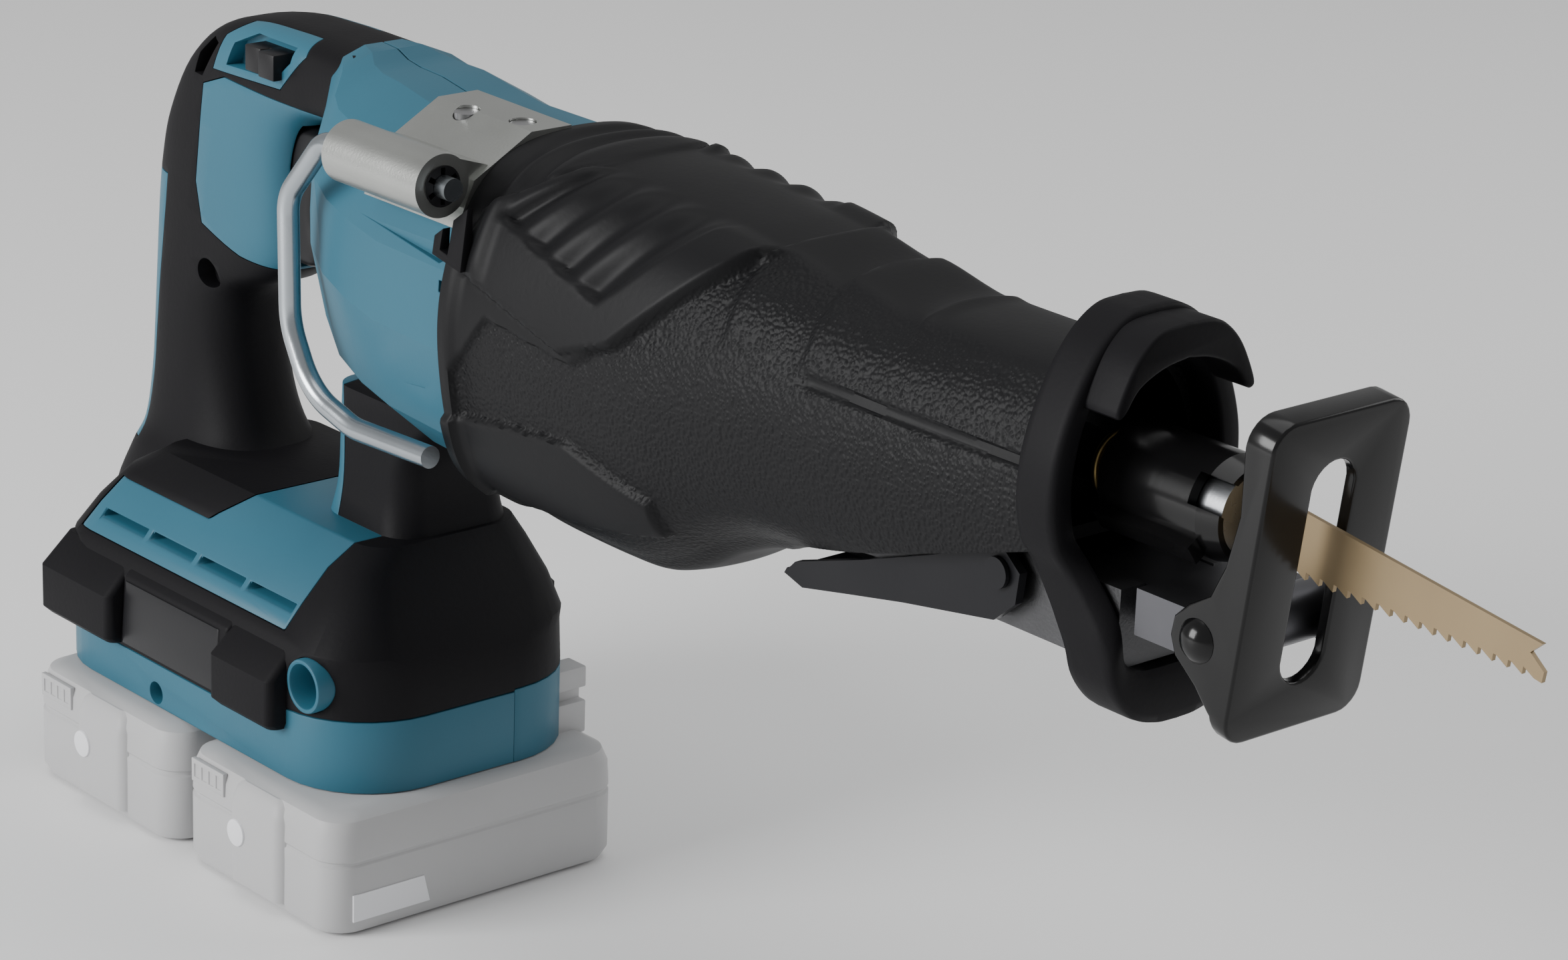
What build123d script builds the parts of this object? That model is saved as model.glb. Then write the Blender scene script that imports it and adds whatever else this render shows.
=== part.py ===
"""Cordless reciprocating saw with two slide-on battery packs, in millimetres.

+X runs forward along the blade, +Y to the left of a person holding the saw, +Z up.  The origin
is on the flat that the saw stands on, below the front battery pack's middle, in the plane where
the two housing halves meet.
"""
import os
from math import atan2, cos, degrees, pi, radians, sin, sqrt

from build123d import *

os.makedirs("parts", exist_ok=True)

# ---------------------------------------------------------------- driving dimensions
ROD_Z = 191.0              # height of the reciprocating rod's axis
MOTOR_Z = 171.0            # height of the rotor's axis
CRANK_X = 112.0            # crank shaft's axis
STROKE = 32.0              # blade stroke
ROD_REST = 6.0             # how far forward of mid-stroke the rod stands at rest
ROD_RADIUS = 6.5
FRONT_FACE = 239.0         # front end of the gear housing's bore
PACK_PITCH = 80.0          # from one battery pack to the next, along X
PACK_WIDTH = 75.0          # along X
PACK_NEAR_Y = -67.0        # the packs' gauge end
PACK_FAR_Y = 34.0          # the packs' latch end
GRIP_HALF = 17.0           # half the handle's thickness
GRIP_CHAMFER = 9.0         # slope along the handle's long edges
SKIN = 2.0                 # elastomer thickness over the plastic
WALL = 5.0                 # skin and plastic together
GAP = 0.3                  # between pieces that move past each other
BASE_TOP = 58.0            # top of the vertical band round the base
BASE_LOW = 36.0            # bottom of that band
HOOK_Y = -46.5             # hook barrel's axis
HOOK_Z = 218.0
SHOE_PIN_X = 312.0         # shoe's tilt axis
SHOE_PIN_Z = 167.0
SHOE_LEAN = 7.2            # degrees that the shoe's top leans forward at rest
LEVER_X = 248.0            # shoe lever's pivot
LEVER_Z = 164.5
GEAR_TEETH = 36
PINION_TEETH = 9
GEAR_RADIUS = 30.0         # pitch radius of the crank gear at its outer end

CRANK_RADIUS = STROKE / 2
PINION_RADIUS = GEAR_RADIUS * PINION_TEETH / GEAR_TEETH
YOKE_X = CRANK_X + ROD_REST
CRANK_PIN_Y = sqrt(CRANK_RADIUS**2 - ROD_REST**2)


# ---------------------------------------------------------------- shared shapes
def block(x0, x1, y0, y1, z0, z1):
    """Box between two corners."""
    return Pos((x0 + x1) / 2, (y0 + y1) / 2, (z0 + z1) / 2) * Box(x1 - x0, y1 - y0, z1 - z0)


def round_x(radius, x0, x1, y, z):
    """Cylinder along X."""
    return Pos((x0 + x1) / 2, y, z) * Rot(0, 90, 0) * Cylinder(radius, x1 - x0)


def round_y(radius, y0, y1, x, z):
    """Cylinder along Y."""
    return Pos(x, (y0 + y1) / 2, z) * Rot(90, 0, 0) * Cylinder(radius, y1 - y0)


def round_z(radius, z0, z1, x, y):
    """Cylinder along Z."""
    return Pos(x, y, (z0 + z1) / 2) * Cylinder(radius, z1 - z0)


def prism(points, direction, length):
    """Flat outline, given as 3-D points, pushed along a direction."""
    return extrude(make_face(Polyline(*points, close=True)), amount=length, dir=direction)


def prism_y(outline, y0, y1):
    """Outline in X and Z, pushed along Y."""
    return prism([(x, y0, z) for x, z in outline], (0, 1, 0), y1 - y0)


def prism_x(outline, x0, x1):
    """Outline in Y and Z, pushed along X."""
    return prism([(x0, y, z) for y, z in outline], (1, 0, 0), x1 - x0)


def mirrored(half):
    """Closed outline from the half with positive Y, listed from top to bottom."""
    return half + [(-y, z) for y, z in reversed(half)]


def save(name, *solids):
    """Write one node; several solids make a group."""
    shape = solids[0] if len(solids) == 1 else Compound(list(solids))
    export_step(shape, f"parts/{name}.step")


def solids_of(shape):
    """All the solids of a shape as a list."""
    return list(shape.solids())


# ---------------------------------------------------------------- casing outlines
BARREL_SHAPE = [(0.35, 1.0), (0.75, 0.9), (0.97, 0.68), (1.0, 0.45), (0.86, 0.18), (0.5, 0.04),
                (0.2, 0.0)]


def barrel_face(x, half_width, top, bottom, inset):
    """Fourteen-sided cross-section of the barrel-shaped casings at one X."""
    width = half_width - inset
    low = bottom + inset
    height = top - inset - low
    half = [(a * width, low + b * height) for a, b in BARREL_SHAPE]
    return make_face(Polyline(*[(x, y, z) for y, z in mirrored(half)], close=True))


def barrel(stations, inset=0.0, end_wall=0.0):
    """Casing through several stations of (x, half width, top, bottom)."""
    first, last = stations[0], stations[-1]
    inner = [(first[0] + end_wall,) + first[1:]] + stations[1:-1] + [(last[0] - end_wall,) + last[1:]]
    return loft([barrel_face(*station, inset) for station in inner], ruled=True)


SPIGOT = (39.4, 220.2, 128.6)     # reduced end of the motor casing that the boot is pulled over
MOTOR_STATIONS = [(-20, 35, 228, 142), (-8, 40, 227.5, 132), (20, 42, 223.5, 129),
                  (54, 42.5, 223.5, 127), (56,) + SPIGOT, (76,) + SPIGOT]
BOOT_STATIONS = [(56, 43.7, 224.8, 123.0), (76, 43.8, 225.5, 122), (100, 43, 224.8, 122),
                 (130, 41.5, 223, 127), (160, 38.5, 220.5, 141), (200, 35, 217, 143),
                 (264, 28.5, 217.5, 142)]

HANDLE_OUTLINE = [(-149, 72), (-141, 97), (-136.5, 128), (-134, 166), (-128, 194), (-116, 213),
                  (-100, 225), (-80, 230), (-14, 231), (-14, 207), (-44, 207), (-60, 203),
                  (-64, 190), (-66, 160), (-74, 152), (-90, 146), (-94, 134), (-92, 118),
                  (-86, 104), (-76, 97), (-76, 72)]


def handle(inset):
    """Handle column with the arch over to the motor casing."""
    outline = make_face(Polyline(*[(x, 0, z) for x, z in HANDLE_OUTLINE], close=True))
    if inset:
        outline = offset(outline, -inset, kind=Kind.INTERSECTION)
    half = GRIP_HALF - inset
    solid = extrude(outline, amount=half, both=True)
    rims = solid.faces().filter_by(Axis.Y).edges()
    return chamfer(rims, GRIP_CHAMFER - inset * (2 - sqrt(2)))


def base_face(z, x0, x1, y0, y1, radius, inset):
    """Rounded rectangle of the battery base or neck at one height."""
    shape = RectangleRounded(x1 - x0 - 2 * inset, y1 - y0 - 2 * inset, radius - inset)
    return Pos((x0 + x1) / 2, (y0 + y1) / 2, z) * shape


BASE_STATIONS = [(BASE_LOW, -126, 31, -58.5, 30.5, 28), (BASE_TOP, -126, 31, -58.5, 30.5, 28),
                 (80, -122, 20, -52, 26, 22), (98, -114, 6, -24, 22, 17)]
NECK_STATIONS = [(86, -34, 18, -24, 22, 9), (112, -33, 5, -19, 19, 9), (136, -31, 24, -19, 19, 9)]


def tower(stations, inset, low_drop=0.0):
    """Column through rounded rectangles, its walls shrunk by inset."""
    low, high = stations[0], stations[-1]
    levels = [(low[0] - low_drop,) + low[1:]] + stations[1:-1] + [(high[0] - inset,) + high[1:]]
    return loft([base_face(*level, inset) for level in levels], ruled=True)


def casing(inset, bottom=0.0):
    """Motor casing, neck, base and handle in one solid, shrunk by inset."""
    motor = barrel(MOTOR_STATIONS, inset, inset)
    return motor + tower(NECK_STATIONS, inset) + tower(BASE_STATIONS, inset, bottom) + handle(inset)


# ---------------------------------------------------------------- housing halves and skins
outer = casing(0.0)
middle = casing(SKIN, bottom=1.0)
hollow = casing(WALL, bottom=1.0)

TRIGGER_PANEL = [(-94, 207), (-48, 206), (-46, 188), (-60, 159), (-96, 166)]
SWITCH_PANEL = [(-92, 214), (-88, 224), (-80, 228), (-50, 228), (-46, 214), (-52, 211)]
REAR_STRIP = [(-140, 172), (-127, 172), (-131, 98), (-150, 98)]

black_zone = block(-160, -15, -40, 40, 98, 240)
black_zone += prism_y([(-160, 99), (-160, 66), (-118, 84), (-72, 84), (-72, 99)], -70, 70)
black_zone += block(-6, 60, -70, 70, BASE_TOP, 92)
black_zone += block(-21, 28, -40, 40, 91, 130)
for panel in (TRIGGER_PANEL, SWITCH_PANEL, REAR_STRIP):
    black_zone -= prism_y(panel, -70, 70)

VENT_X = (-104, -82, -60, -38)
MOUTHS = [block(x - 26, x + 26, 0, 60, 20, 57.5) for x in (0, -PACK_PITCH)]
cuts = MOUTHS + [
    block(-81, -40, -9.6, 9.6, 159, 203),                                        # trigger
    block(-76, -58, -30, 30, 216.5, 225.5),                                      # lock-off button
    barrel([(69,) + SPIGOT, (80,) + SPIGOT], WALL),                              # gear housing
]
cuts += [block(x, x + 19, -62, -40, 80.5, 83.5) for x in VENT_X]
cuts += [block(x, x + 3, -50, 50, z, z + 9) for x in (45, 49.5) for z in (166, 146)]
STRAP_HOLE = [(-121, 199), (-113, 196), (-107, 205), (-110, 212), (-118, 209)]
strap_tube = prism_y([(-126, 194), (-112, 190), (-102, 204), (-107, 218), (-122, 214)],
                     -GRIP_HALF + SKIN, GRIP_HALF - SKIN)
strap_hole = prism_y(STRAP_HOLE, -30, 30)

FRAME_SCREWS = [(-34, 216), (-111, 146), (-125, 112), (-24, 118), (38, 211)]


def screw_boss(x, z):
    """Round post across the housing that one screw runs through, bored for it."""
    post = round_y(5.0, -14, 14, x, z) & middle
    return post - round_y(3.8, -20, -9.3, x, z) - round_y(2.2, -9.6, 9.2, x, z)


def housing_screw(x, z):
    """Pan-headed screw that closes the two halves, driven from the right."""
    return round_y(3.5, -12.5, -9.4, x, z) + round_y(2.0, -9.4, 9.0, x, z)


def well(x, z):
    """Hole through the right-hand wall that lets the screwdriver in."""
    return round_y(3.8, -60, -13.9, x, z)


skin = (outer - middle) & black_zone
shell = outer - hollow - skin
stator_cradle = block(-14, -10, -36, 36, 138, 216) - round_x(8.3, -20, 0, 0, MOTOR_Z)
deck = block(-118, 22, -50, 22, 59, 62) - block(-60, -20, -10, 10, 50, 70)
shell += (strap_tube + stator_cradle + deck) & middle
for hole in cuts + [strap_hole]:
    shell -= hole
for hole in cuts + [strap_hole]:
    skin -= hole
for x, z in FRAME_SCREWS:
    shell = shell - round_y(5.0, -14, 14, x, z) - well(x, z) + screw_boss(x, z)
    skin -= well(x, z) + round_y(3.8, -14, -9.3, x, z)
skin -= round_y(7.0, -70, -40, 12, 70)
sides = {"right": block(-200, 100, -90, 0, 0, 260), "left": block(-200, 100, 0, 90, 0, 260)}
BRACKET_SCREWS = [(28, -17), (46, -12)]
for x, y in BRACKET_SCREWS:
    shell -= round_z(2.1, 205, 240, x, y)
for name, side in sides.items():
    save(f"housing_{name}", *solids_of(shell & side))
    save(f"grip_overmould_{name}", *solids_of(skin & side))
save("housing_screws", *[housing_screw(x, z) for x, z in FRAME_SCREWS])

# ---------------------------------------------------------------- base fittings
for name, out, wall_y, low in (("right", -1, -58.5, 50), ("left", 1, 30.5, 58.3)):
    inner, face = wall_y - 8 * out, wall_y + 4 * out
    strip = block(-114, 16, min(inner, face), max(inner, face), low, low + 18)
    if name == "right":
        for x0, x1 in ((-114, -76), (-16, 16)):
            nose = [(x0, wall_y), (x1, wall_y), (x1 - 5, wall_y - 8), (x0 + 5, wall_y - 8)]
            strip += prism([(x, y, low + 2) for x, y in nose], (0, 0, 1), 15)
    save(f"side_pad_{name}", *solids_of(strip - outer))
    save(f"rating_plate_{name}", block(-72, -20, min(face, face + 0.8 * out),
                                       max(face, face + 0.8 * out), low + 1, low + 16))
save("controller", block(-95, -5, -42, 12, 63, 65) + block(-80, -30, -34, 4, 65, 72))
base_room = tower(BASE_STATIONS, WALL + GAP)
for name, x in (("front", 0.0), ("rear", -PACK_PITCH)):
    rail = block(x - 25.4, x + 25.4, -46, 26, 55.2, 58.8)
    for side in (-1, 1):
        foot = sorted((x + side * 21.4, x + side * 25.4))
        lip = sorted((x + side * 18.4, x + side * 21.4))
        rail += block(*foot, -46, 26, 40, 55.2) + block(*lip, -46, 26, 44.4, 47.6)
    save(f"pack_rail_{name}", *solids_of(rail & base_room))

# ---------------------------------------------------------------- motor
save("motor_stator", round_x(29.5, -2, 40, 0, MOTOR_Z) - round_x(17.6, -3, 41, 0, MOTOR_Z))
save("rotor_core", round_x(17.0, 0, 38, 0, MOTOR_Z) - round_x(4.0, -1, 39, 0, MOTOR_Z))
save("rotor_shaft", round_x(4.0, -14.6, 90, 0, MOTOR_Z))
fan = round_x(12.0, 44, 54, 0, MOTOR_Z) + round_x(27.0, 44, 46, 0, MOTOR_Z)
for i in range(9):
    blade = Pos(50, 0, MOTOR_Z) * Rot(i * 40, 0, 0) * Pos(0, 0, 19) * Box(8, 1.6, 16)
    fan += blade
save("cooling_fan", fan - round_x(4.0, 40, 60, 0, MOTOR_Z))


def bearing_x(radius, bore, x0, x1):
    """Plain ring that stands for a sealed ball bearing on the rotor shaft."""
    return round_x(radius, x0, x1, 0, MOTOR_Z) - round_x(bore, x0 - 1, x1 + 1, 0, MOTOR_Z)


save("rotor_bearings", bearing_x(8.25, 4.04, -14.5, -9.5), bearing_x(11.0, 4.04, 62.2, 69))

# ---------------------------------------------------------------- bevel gears
CONE = atan2(GEAR_RADIUS, PINION_RADIUS)          # crank gear's pitch cone angle
CONE_LENGTH = sqrt(GEAR_RADIUS**2 + PINION_RADIUS**2)
TOOTH_TIP = 1.2                                   # tooth height above the pitch cone
TOOTH_ROOT = 1.5                                  # and below it
TOOTH_HALF = 1.0                                  # half the tooth's thickness at the pitch cone
INNER_END = 0.74                                  # small end of a tooth over its large end


def bevel_tooth():
    """One straight bevel tooth: pitch line along +X from the apex, height along +Z."""
    ends = []
    for scale in (1.0, INNER_END):
        x = CONE_LENGTH * scale
        root, tip = TOOTH_HALF + 0.5, TOOTH_HALF - 0.42
        corners = [(root, -TOOTH_ROOT - 0.4), (root, -TOOTH_ROOT), (tip, TOOTH_TIP),
                   (-tip, TOOTH_TIP), (-root, -TOOTH_ROOT), (-root, -TOOTH_ROOT - 0.4)]
        points = [(x, y * scale, z * scale) for y, z in corners]
        ends.append(make_face(Polyline(*points, close=True)))
    return loft(ends, ruled=True)


def bevel_blank(cone, back, hub):
    """Body of a bevel gear about Z with its apex at the origin and its teeth facing +Z."""
    root = TOOTH_ROOT + 0.3
    outer_r = CONE_LENGTH * sin(cone) - root * cos(cone)
    outer_z = -CONE_LENGTH * cos(cone) - root * sin(cone)
    profile = [(outer_r, back), (outer_r, outer_z), (outer_r * INNER_END, outer_z * INNER_END),
               (hub, outer_z * INNER_END), (hub, back)]
    return revolve(make_face(Polyline(*[(r, 0, z) for r, z in profile], close=True)), Axis.Z)


def bevel_gear(teeth, cone, back, hub, phase):
    """Bevel gear about Z, apex at the origin, a tooth at the given phase in degrees."""
    tilt = Rot(0, 90 - degrees(cone), 0)
    tooth = tilt * bevel_tooth()
    gear = bevel_blank(cone, back, hub)
    return gear + [Rot(0, 0, phase + i * 360 / teeth) * tooth for i in range(teeth)]


gear_at = Pos(CRANK_X, 0, MOTOR_Z)
crank_gear = bevel_gear(GEAR_TEETH, CONE, -17.0, 6.0, 180 / GEAR_TEETH)
crank_gear += round_z(24.0, -17, -9, 0, 0)
crank_gear = gear_at * (crank_gear - Cylinder(6.0, 60.0))
crank_gear -= round_z(4.0, 150, 190, YOKE_X, CRANK_PIN_Y)
save("crank_gear", crank_gear)
pinion = bevel_gear(PINION_TEETH, pi / 2 - CONE, -CONE_LENGTH * sin(CONE) - 9.0, 4.0, 0.0)
pinion = gear_at * Rot(0, 90, 0) * pinion
save("pinion", pinion)

# ---------------------------------------------------------------- crank
save("crank_shaft", round_z(6.0, 130.6, 164, CRANK_X, 0))
save("crank_pin", round_z(4.0, 155, 181, YOKE_X, CRANK_PIN_Y))
weight = round_z(26.0, 147, 153.6, CRANK_X, 0) - block(CRANK_X - 40, CRANK_X + 40, 0, 40, 140, 160)
weight += round_z(11.0, 147, 153.6, CRANK_X, 0)
save("counterweight", weight - round_z(6.0, 140, 160, CRANK_X, 0))
save("crank_bearings", *[round_z(11.0, z, z + 6.5, CRANK_X, 0) - round_z(6.04, z - 1, z + 8, CRANK_X, 0)
                         for z in (130.5, 139)])

# ---------------------------------------------------------------- gear housing
HOUSING_INSET = 3.8
housing_stations = [(76.3,) + BOOT_STATIONS[1][1:]] + BOOT_STATIONS[2:6]
housing_stations += [(FRONT_FACE, 30.9, 217.2, 142.5)]
case = barrel(housing_stations, HOUSING_INSET)
case += barrel([(62,) + SPIGOT, (76.3,) + SPIGOT], WALL + GAP)
case -= block(160, 260, 20.5, 60, 100, 174) + block(160, 260, -60, -20.5, 100, 174)
case -= block(160, 260, -60, 60, 100, 150)
chamber = barrel(housing_stations, HOUSING_INSET + 4.5) & block(80, 150, -50, 50, 145.5, 240)
chamber += barrel([(70,) + SPIGOT, (81,) + SPIGOT], WALL + 5)
chamber += round_z(32.3, 145.5, 182, CRANK_X, 0)
chamber += round_z(24.0, 134, 146, CRANK_X, 0) - round_z(14.5, 130, 150, CRANK_X, 0)
tube = round_x(12.5, 150, FRONT_FACE, 0, ROD_Z)
nose_room = barrel(housing_stations, HOUSING_INSET + 4.5) & block(154, 234, -50, 50, 180.5, 240)
case -= chamber + (nose_room - tube)
case -= round_z(11.1, 130.3, 146, CRANK_X, 0)
case -= round_x(11.1, 62, 69.2, 0, MOTOR_Z) + round_x(9.0, 60, 80, 0, MOTOR_Z)
for x0, x1, radius in ((158, 176, 9.05), (216, FRONT_FACE, 9.05), (140, 260, 7.2)):
    case -= round_x(radius, x0, x1, 0, ROD_Z)
tongue = block(FRONT_FACE - 3, 284, -19, 19, 150, 170)
lightening = block(164, 192, -14, 14, 149, 172)
bar_channel = block(196, 300, -11.4, 11.4, 159.6, 172)
case = case + tongue - bar_channel - lightening
case -= round_z(3.05, 140, 165, 225, 0)
for side in (-1, 1):
    case -= round_y(2.5, side * 16 - 3.1, side * 16 + 3.1, LEVER_X, LEVER_Z)
save("gear_housing", *solids_of(case))

bushing_spans = [(158, 176), (216, 234)]
save("rod_bushings", *[round_x(9.0, x0, x1, 0, ROD_Z) - round_x(ROD_RADIUS + 0.05, x0, x1, 0, ROD_Z)
                       for x0, x1 in bushing_spans])
save("rod_seal", round_x(9.0, 234.3, FRONT_FACE, 0, ROD_Z) - round_x(ROD_RADIUS + 0.05, 230, 242, 0, ROD_Z))

# ---------------------------------------------------------------- rod, yoke and blade clamp
yoke = block(YOKE_X - 13, YOKE_X + 13, -26, 26, 181.5, 199)
yoke -= block(YOKE_X - 7.2, YOKE_X + 7.2, -22, 22, 180, 194)
save("yoke", yoke)
save("yoke_roller", round_z(7.0, 181.8, 193.6, YOKE_X, CRANK_PIN_Y) - round_z(4.1, 180, 195, YOKE_X, CRANK_PIN_Y))
save("reciprocating_rod", round_x(ROD_RADIUS, YOKE_X + 13, 268, 0, ROD_Z))
BLADE_HALF = 0.6
clamp_body = round_x(9.6, 268, 305, 0, ROD_Z) - block(276, 310, -0.7, 0.7, 180, 202)
clamp_body -= round_y(1.5, -12, 12, 288, 190)
save("clamp_body", clamp_body)
save("clamp_pin", round_y(1.5, -9.3, 9.3, 288, 190))
coil = [Pos(x, 0, ROD_Z) * Rot(0, 90, 0) * Torus(7.9, 1.0) for x in (262.3, 264.5, 266.7)]
save("clamp_spring", *coil)
sleeve = round_x(13.0, 268.2, 300, 0, ROD_Z) + loft([
    Pos(300, 0, ROD_Z) * Rot(0, 90, 0) * Circle(13.0), Pos(306, 0, ROD_Z) * Rot(0, 90, 0) * Circle(11.6)])
ridge = Pos(0, 0, ROD_Z) * Rot(125, 0, 0) * block(269, 300, -2.8, 2.8, 11, 16)
sleeve += ridge
sleeve -= round_x(9.9, 260, 310, 0, ROD_Z)
sleeve -= Pos(0, 0, ROD_Z) * Rot(60, 0, 0) * block(297, 310, -4, 4, 0, 20)
save("clamp_sleeve", sleeve)

# ---------------------------------------------------------------- blade
TOOTH_PITCH = 4.3
BLADE_TIP_X = 393.0
teeth_start = 316.0
teeth = []
count = 17
for i in range(count):
    x = teeth_start + i * TOOTH_PITCH
    base_z = 180.6 - 0.03 * (x - 316)
    teeth += [(x, base_z + 1.9), (x + TOOTH_PITCH * 0.75, base_z), (x + TOOTH_PITCH * 0.8, base_z + 1.9)]
outline = [(277, 184), (277, 196), (300, 198.4), (306, 198.6), (BLADE_TIP_X, 187), (389.8, 184.2),
           (394, 180.8), (393.6, 178.2), (391.4, 178.6)]
outline += list(reversed(teeth)) + [(308, 181.5), (304, 184)]
blade = prism_y(outline, -BLADE_HALF, BLADE_HALF)
blade -= round_y(1.56, -3, 3, 288, 190)
save("blade", blade)

# ---------------------------------------------------------------- rubber boot
boot = barrel(BOOT_STATIONS) - barrel(BOOT_STATIONS, HOUSING_INSET - GAP, -1.0)
boot -= prism_y([(160, 100), (160, 139), (166, 145), (258, 173), (258, 100)], -60, 60)
FLANGE = mirrored([(9, 231), (16, 225.5), (20.5, 219.5), (26, 209), (29, 199), (30, 191), (29.5, 184),
                   (27.5, 177), (24, 166)])
CHIN = mirrored([(24.5, 172), (24.5, 158), (22, 146), (15, 137)])
MOUTH = mirrored([(8, 226), (13.5, 220), (18, 212), (22, 202), (23.5, 191), (22.5, 180),
                  (19.4, 171), (19.4, 149.7)])
HOOD = mirrored([(12, 227), (18, 221), (21.5, 213), (17, 215), (9, 222)])
boot += prism_x(FLANGE, 258, 271) + prism_x(CHIN, 268, 288)
boot -= prism_x(MOUTH, 250, 290)
boot += prism_x(HOOD, 262, 280)
save("rubber_boot", *solids_of(boot))

# ---------------------------------------------------------------- shoe
bar = block(200, 300, -11, 11, 160, 169.6) + block(289, 306, -19, 19, 160.5, 172)
bar += round_y(7.0, -19, 19, SHOE_PIN_X, SHOE_PIN_Z) + block(300, SHOE_PIN_X, -19, 19, 162, 172)
bar -= round_y(4.0, -30, 30, SHOE_PIN_X, SHOE_PIN_Z)
for i in range(5):
    bar -= block(222 + 7.5 * (i - 2) - 2, 222 + 7.5 * (i - 2) + 4, -12, 12, 158, 161)
save("shoe_carriage", bar)
save("shoe_lock_pin", round_z(3.0, 151, 159.3, 225, 0))
PLATE_FRONT = 12.8
PLATE_THICK = 3.0
PLATE_HALF = 22.5
plate = Rot(0, 90, 0) * RectangleRounded(80, 2 * PLATE_HALF, 8)
plate = Pos(PLATE_FRONT - PLATE_THICK, 0, 18) * extrude(plate, amount=PLATE_THICK, dir=(1, 0, 0))
slot = extrude(Rot(0, 90, 0) * SlotOverall(56, 14), amount=40, dir=(1, 0, 0))
plate -= Pos(-10, 0, 18) * slot
EAR = [(12.8, 51), (12.0, 56), (5, 56), (4.2, 50), (6.2, 34), (4.6, 21), (1.5, 12), (-4.5, 7.3), (-8.0, 3),
       (-8.3, -2), (-6, -6.5), (1.5, -11), (7.0, -16), (9.0, -21), (12.0, -21.5), (12.8, -16)]
ear = [prism_y(EAR, y, y + 3.0) for y in (-PLATE_HALF, PLATE_HALF - 3.0)]
plate = plate + ear - round_y(4.05, -30, 30, 0, 0)
lean = Pos(SHOE_PIN_X, 0, SHOE_PIN_Z) * Rot(0, SHOE_LEAN, 0)
save("shoe_plate", *solids_of(lean * plate))
rivet = round_y(3.95, -PLATE_HALF, PLATE_HALF, 0, 0)
for side in (-1, 1):
    head = Sphere(6.6) & block(-8, 8, 3.8, 8, -8, 8)
    rivet += Rot(0, 0, 0 if side > 0 else 180) * Pos(0, PLATE_HALF - 3.7, 0) * head
save("shoe_pivot_pin", lean * rivet)

# ---------------------------------------------------------------- shoe lever
LEVER_SIDE = [(171, 141), (175, 145), (200, 153), (224, 161.5), (240, 168), (250, 170), (255, 166),
              (254, 158), (247, 152), (215, 146.5), (195, 142.5), (178, 139)]
LEVER_FLOOR = [(171, 141), (178, 139), (195, 142.5), (215, 146.5), (215, 149), (195, 145), (178, 141.6),
               (172, 142.6)]
lever = prism_y(LEVER_SIDE, -23.6, -21.1) + prism_y(LEVER_SIDE, 21.1, 23.6)
lever += prism_y(LEVER_FLOOR, -23.6, 23.6)
lever -= round_y(2.56, -30, 30, LEVER_X, LEVER_Z)
save("shoe_lever", lever)
stubs = []
for side in (-1, 1):
    span = sorted((side * 13.2, side * 24.0))
    cap = sorted((side * 24.0, side * 25.2))
    stubs.append(round_y(2.5, *span, LEVER_X, LEVER_Z) + round_y(4.0, *cap, LEVER_X, LEVER_Z))
save("lever_pins", *stubs)

# ---------------------------------------------------------------- hook
HOOK_WIRE = 3.1
BARREL_BORE = 5.6
hook_barrel = round_x(8.6, 15, 57, HOOK_Y, HOOK_Z) - round_x(BARREL_BORE, 10, 60, HOOK_Y, HOOK_Z)
saddle = barrel([(14, 42.2, 224.4, 129.2), (55.7, 42.6, 223.8, 127.0)], -4.0)
saddle = saddle & block(14, 55.5, -45, -3, 205, 240)
arm = prism_x([(HOOK_Y, HOOK_Z + 8), (HOOK_Y, HOOK_Z - 4), (-33, 208), (-28, 220)], 18, 54)
bracket = saddle + (arm - round_x(8.6, 10, 60, HOOK_Y, HOOK_Z))
bracket -= barrel([(0, 42.6, 225.4, 129), (20, 42.3, 223.9, 128.8), (70, 42.8, 223.9, 126.6)])
bracket += hook_barrel
for x, y in BRACKET_SCREWS:
    bracket -= round_z(2.2, 200, 240, x, y) + round_z(3.8, 225.5, 240, x, y)
save("hook_bracket", *solids_of(bracket))
save("bracket_screws", *[round_z(3.5, 225.6, 227.4, x, y) + round_z(2.0, 212, 225.6, x, y)
                         for x, y in BRACKET_SCREWS])
star = round_x(BARREL_BORE, 48, 57.5, HOOK_Y, HOOK_Z) - round_x(HOOK_WIRE + 0.1, 40, 60, HOOK_Y, HOOK_Z)
for i in range(6):
    star -= Pos(0, HOOK_Y, HOOK_Z) * Rot(i * 60, 0, 0) * block(52, 60, -0.7, 0.7, 0, 5)
save("hook_detent", *solids_of(star))
route = [(62, HOOK_Z), (4, HOOK_Z), (-13, 199), (-12, 163), (-2, 146), (18, 141), (53, 142.5)]
line = FilletPolyline(*[(x, HOOK_Y, z) for x, z in route], radius=[8, 12, 22, 22, 22])
ring = Plane(origin=line @ 0, z_dir=line % 0) * Circle(HOOK_WIRE)
save("hook_wire", sweep(ring, path=line))

# ---------------------------------------------------------------- trigger and lock-off button
TRIGGER = [(-72, 200), (-54, 202), (-49, 199), (-51.5, 186), (-54, 174), (-52, 162.5), (-58, 160), (-72, 162)]
trigger = prism_y(TRIGGER, -9.0, 9.0) + round_x(3.0, -86, -72, 0, 180)
save("trigger", trigger)
save("trigger_switch", block(-104, -84, -10.5, 10.5, 166, 194) - round_x(3.3, -95, -80, 0, 180))
save("lock_off_button", block(-75.6, -58.6, -20.5, 20.5, 217, 225))

# ---------------------------------------------------------------- battery packs
CELL_RADIUS = 8.85
CELL_PITCH = 17.8
ROW_RISE = sqrt(CELL_PITCH**2 - (CELL_PITCH / 2)**2)
BODY_TOP = 35.7
pack_mid = (PACK_NEAR_Y + PACK_FAR_Y) / 2


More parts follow.
